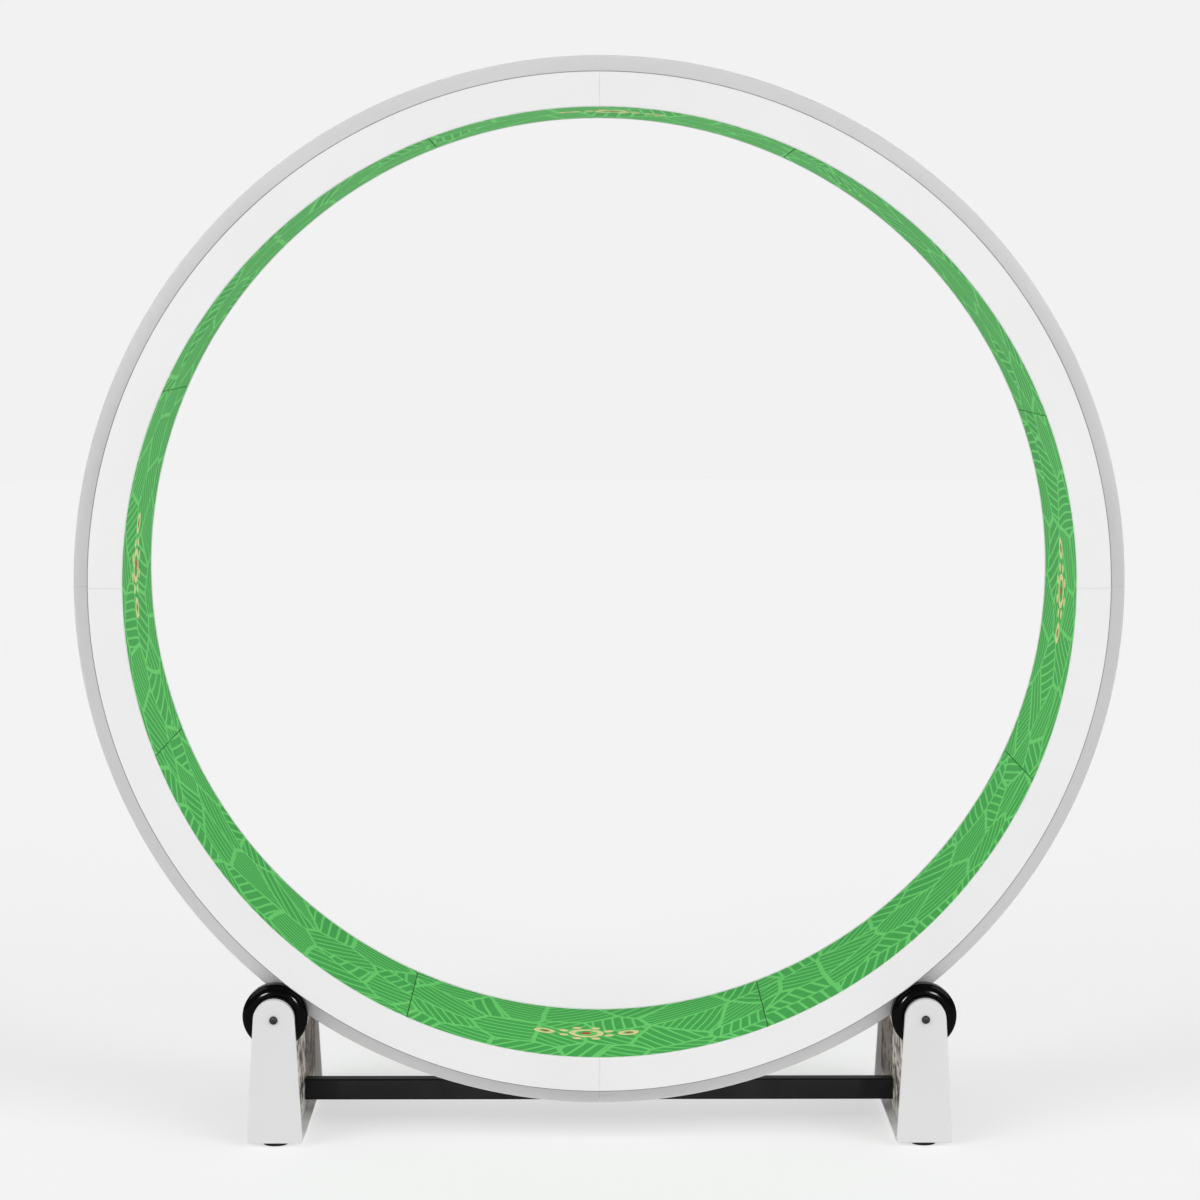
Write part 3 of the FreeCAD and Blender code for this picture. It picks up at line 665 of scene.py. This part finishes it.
def bearings():
    """Outer race, sunk shield and inner race of each ball bearing."""
    mesh_edit = bmesh.new()
    side = [
        (BEARING_BORE / 2, 0, 0.3 * MM),
        (5.7 * MM, 0, 0.2 * MM),
        (5.9 * MM, 0.35 * MM, 0),
        (9.1 * MM, 0.35 * MM, 0),
        (9.3 * MM, 0, 0.2 * MM),
        (BEARING_RADIUS, 0, 0.4 * MM),
    ]
    other_side = [(radius, BEARING_WIDTH - depth, corner) for radius, depth, corner in side[::-1]]
    section = rounded(side + other_side, 2)
    for sign_x in SIDES.values():
        for sign_y in ENDS.values():
            for near in (ROLLER_IN, ROLLER_OUT - BEARING_WIDTH):
                low = near if sign_y > 0 else -near - BEARING_WIDTH
                lathe(mesh_edit, section, facing(sign_x * AXLE_X, low, AXLE_Z, (0, 1, 0)), 48)
    finish_mesh("ball_bearings", mesh_edit, "bearing_steel", "stand", "roller_bearings")


# ---- screws ----

def row_about(mesh_edit, place, radii, height):
    """A closed row of points about Z at one height, one for each radius, evenly spread."""
    angles = [2 * math.pi * k / len(radii) for k in range(len(radii))]
    return [mesh_edit.verts.new(place @ Vector((radius * math.cos(angle), radius * math.sin(angle), height)))
            for radius, angle in zip(radii, angles)]


def hexagon(flats, sides, turned):
    """Radii of a hexagon at evenly spread angles, the first at a corner if it isn't turned."""
    return [flats / 2 / math.cos((2 * math.pi * k / sides + turned) % (math.pi / 3) - math.pi / 6)
            for k in range(sides)]


def hex_socket_screw(mesh_edit, place, sizes):
    """Button head with a hexagonal socket: seat at 0, tip along +Z."""
    shank, head, rise, length, key = sizes
    sides = 48
    outer = head / 2
    edge = 0.25 * MM
    profile = [
        (shank / 2, length), (shank / 2, 0), (outer - edge, 0), (outer, -edge),
        (outer, -0.35 * rise), (0.93 * outer, -0.68 * rise), (0.8 * outer, -0.88 * rise), (0.66 * outer, -rise),
    ]
    rows = [row_about(mesh_edit, place, [radius] * sides, height) for radius, height in profile]
    socket = hexagon(key, sides, math.pi / 6)
    rows += [row_about(mesh_edit, place, socket, height) for height in (-rise, -0.45 * rise)]
    for one, two in zip(rows, rows[1:]):
        bridge(mesh_edit, one, two)
    mesh_edit.faces.new(rows[0])
    mesh_edit.faces.new(rows[-1])


def hex_nut(mesh_edit, place, flats, thickness, bore):
    """Nut that stands on 0, the corners of both its faces eased."""
    sides = 24
    edge = 0.5 * MM
    hole = [bore / 2] * sides
    flat = hexagon(flats, sides, 0)
    eased = [min(radius, 0.93 * flats / math.sqrt(3)) for radius in flat]
    rows = [row_about(mesh_edit, place, radii, height) for radii, height in (
        (hole, 0), (eased, 0), (flat, edge), (flat, thickness - edge), (eased, thickness), (hole, thickness))]
    for one, two in zip(rows, rows[1:] + rows[:1]):
        bridge(mesh_edit, one, two)


def stand_screws():
    """The stand's fasteners, one piece for each kind."""
    axle, wall, strap, bolt, studs, nuts = (bmesh.new() for _ in range(6))
    stud = rounded([
        (0, STUD_LOW, 0),
        (STUD_RADIUS, STUD_LOW, 0.2 * MM),
        (STUD_RADIUS, STUD_HIGH, 0.4 * MM),
        (0, STUD_HIGH, 0),
    ], 2)
    for sign_x in SIDES.values():
        x, strap_x, inward = sign_x * AXLE_X, sign_x * STRAP_X, (-sign_x, 0, 0)
        hex_socket_screw(bolt, facing(strap_x, 0, BAR_TOP - BAR_HEIGHT / 2, inward), BAR_BOLT)
        for sign_y in ENDS.values():
            hex_socket_screw(axle, facing(x, sign_y * PLATE_BACK, AXLE_Z, (0, -sign_y, 0)), AXLE_SCREW)
            for level in WALL_SCREW_LEVELS:
                hex_socket_screw(wall, facing(x, sign_y * WALL_SCREW_PLACE, level, (0, sign_y, 0)), WALL_SCREW)
            hex_socket_screw(strap, facing(strap_x, sign_y * STRAP_SCREW_PLACE, STRAP_SCREW_LEVEL, inward),
                             STRAP_SCREW)
            foot = Matrix.Translation((x, sign_y * FOOT_PLACE, 0))
            lathe(studs, stud, foot, 32)
            hex_nut(nuts, foot @ Matrix.Translation((0, 0, NUT_LOW)), NUT_FLATS, NUT_THICK,
                    2 * (STUD_RADIUS + THREAD_PLAY))
    finish_mesh("axle_screw_heads", axle, "zinc_steel", "stand", "axle_screws", black_head)
    finish_mesh("wall_screw_heads", wall, "zinc_steel", "stand", "wall_screws")
    finish_mesh("strap_screw_heads", strap, "zinc_steel", "stand", "strap_screws")
    finish_mesh("bar_bolt_heads", bolt, "zinc_steel", "stand", "bar_bolts")
    finish_mesh("foot_stud_rods", studs, "zinc_steel", "stand", "foot_studs")
    finish_mesh("foot_nut_hexes", nuts, "zinc_steel", "stand", "foot_nuts")


# ---- feet ----

def end_plates():
    """Tapered plates with a round top about the axle, their outer edges softened."""
    thickness = PLATE_BACK - PLATE_FACE
    corner = PLATE_FOOT / 2
    lean = math.atan2(corner - PLATE_TOP, AXLE_Z - PLATE_LOW)
    low = rounded([(-corner, PLATE_LOW, 1.5 * MM), (corner, PLATE_LOW, 1.5 * MM), (0, AXLE_Z, 0)], 3)[:-1]
    outline = [tuple(point) for point in low]
    upright = Matrix.Rotation(math.pi / 2, 4, "X")
    steps = 40
    for step in range(steps + 1):
        angle = lean + (math.pi - 2 * lean) * step / steps
        outline.append((PLATE_TOP * math.cos(angle), AXLE_Z + PLATE_TOP * math.sin(angle)))
    for side, sign_x in SIDES.items():
        for end, sign_y in ENDS.items():
            rear_side = PLATE_BACK if sign_y > 0 else -PLATE_FACE
            place = Matrix.Translation((sign_x * AXLE_X, rear_side, 0)) @ upright
            mesh_edit = bmesh.new()
            prism(mesh_edit, outline, place, thickness, 0.9 * MM, 3)
            finish_mesh(f"{side}_{end}_end_plate", mesh_edit, "end_plate", "stand", f"{side}_{end}_plate")


def bar():
    """Rectangular tube with rounded corners, open inside."""
    mesh_edit = bmesh.new()
    rows = []
    for inset, radius in ((0, 2.5 * MM), (BAR_WALL, 0.8 * MM)):
        side = BAR_DEPTH / 2 - inset
        low, high = BAR_TOP - BAR_HEIGHT + inset, BAR_TOP - inset
        corners = ((-side, low), (side, low), (side, high), (-side, high))
        section = rounded([(y, z, radius) for y, z in corners], 4)
        for x in (-BAR_END, BAR_END):
            rows.append([mesh_edit.verts.new((x, y, z)) for y, z in section])
    for one, two in ((0, 1), (1, 3), (3, 2), (2, 0)):
        bridge(mesh_edit, rows[one], rows[two])
    finish_mesh("under_bar", mesh_edit, "bar_paint", "stand", "cross_bar")


def pads():
    """Rubber discs under the feet, with a rounded lower rim and a groove."""
    mesh_edit = bmesh.new()
    groove = FOOT_RADIUS - 0.4 * MM
    bore = STUD_RADIUS + THREAD_PLAY
    section = rounded([
        (0, 0, 0),
        (FOOT_RADIUS, 0, 0.8 * MM),
        (FOOT_RADIUS, 1.7 * MM, 0.15 * MM),
        (groove, 2 * MM, 0.15 * MM),
        (FOOT_RADIUS, 2.3 * MM, 0.15 * MM),
        (FOOT_RADIUS, PLATE_LOW, 0.3 * MM),
        (bore, PLATE_LOW, 0),
        (bore, STUD_LOW, 0),
        (0, STUD_LOW, 0),
    ], 3)
    for sign_x in SIDES.values():
        for sign_y in ENDS.values():
            lathe(mesh_edit, section, Matrix.Translation((sign_x * AXLE_X, sign_y * FOOT_PLACE, 0)), 56)
    finish_mesh("foot_discs", mesh_edit, "foot_rubber", "stand", "rubber_feet")


def soften(node, width):
    """Small bevels on a folded sheet's edges."""
    piece = NODES[node]
    weld = piece.modifiers.new("weld", "WELD")
    weld.merge_threshold = 0.00001
    bevel = piece.modifiers.new("bevel", "BEVEL")
    bevel.width = width
    bevel.segments = 2
    bevel.limit_method = "ANGLE"
    bevel.angle_limit = math.radians(50)
    bevel.harden_normals = True


def carried_over():
    """Nodes whose shape is right as it is get their material here."""
    for name, node in NODES.items():
        if node.hide_render:
            continue
        node.data.materials.clear()
        # the rear walls take the darker copy of the sheet, which is painted shade
        rear = name.endswith("rear_wall")
        node.data.materials.append(rear_shaded_sheet if rear else MATERIALS[slot_of[name]])
        if name.endswith(("_wall", "_strap", "_base_plate")):
            soften(name, 0.25 * MM)


# ---- floor and light ----

def card(name, corners, faces, material):
    """A plain surface of the studio."""
    mesh = bpy.data.meshes.new(name)
    mesh.from_pydata(corners, [], faces)
    mesh.shade_smooth()
    mesh.materials.append(material)
    made = bpy.data.objects.new(name, mesh)
    bpy.context.scene.collection.objects.link(made)
    return made


def light(name, heading, height, spread, strength, only_gloss=False):
    """Even light from a round patch of sky. Heading 0 comes from the front, 90 from the right."""
    data = bpy.data.lights.new(name, "SUN")
    data.angle = math.radians(spread)
    data.energy = strength
    lamp = bpy.data.objects.new(name, data)
    bpy.context.scene.collection.objects.link(lamp)
    lamp.visible_diffuse = not only_gloss
    turned, raised = math.radians(heading), math.radians(height)
    towards = Vector((math.sin(turned) * math.cos(raised), -math.cos(turned) * math.cos(raised),
                      math.sin(raised)))
    lamp.matrix_world = towards.to_track_quat("Z", "Y").to_matrix().to_4x4()


def studio():
    """Pale floor and backdrop of one tone, an even sky, a soft light and a small glint from each side."""
    paper = Shader("paper_floor", Roughness=1.0, Specular_IOR_Level=0.0,
                   Emission_Color=grey(1.0), Emission_Strength=0.545)
    paper.put(paper.surface.inputs["Base Color"], paper.mix(
        paper.noise(paper.place(), 3.0, 3.0), grey(0.396), grey(0.404)))
    glow = Shader("paper_backdrop", Base_Color=grey(0.0), Roughness=1.0, Specular_IOR_Level=0.0,
                  Emission_Color=grey(1.0), Emission_Strength=0.889)

    reach, rise, sides = 14.0, 14.0, 96
    low, high = ([(reach * math.cos(2 * math.pi * k / sides), reach * math.sin(2 * math.pi * k / sides), z)
                  for k in range(sides)] for z in (0, rise))
    card("floor", low, [tuple(range(sides))], paper.material)
    backdrop = card("backdrop", low + high, [(k, (k + 1) % sides, sides + (k + 1) % sides, sides + k)
                                             for k in range(sides)], glow.material)
    backdrop.visible_diffuse = False
    backdrop.visible_glossy = False
    backdrop.visible_shadow = False

    world = bpy.data.worlds.new("studio")
    bpy.context.scene.world = world
    world.use_nodes = True
    sky = world.node_tree.nodes["Background"]
    sky.inputs["Color"].default_value = grey(1.0)
    sky.inputs["Strength"].default_value = 0.443

    for side, sign in SIDES.items():
        light(f"{side}_light", sign * 50, 36, 40, 1.16)
        light(f"{side}_glint", sign * 12.5, 3.5, 5.0, 0.78, only_gloss=True)


drum()
for end_name, end_sign in ENDS.items():
    for side_name, side_sign in SIDES.items():
        roller(end_name, end_sign, side_name, side_sign)
bearings()
stand_screws()
end_plates()
bar()
pads()
carried_over()
studio()

bpy.context.view_layer.update()
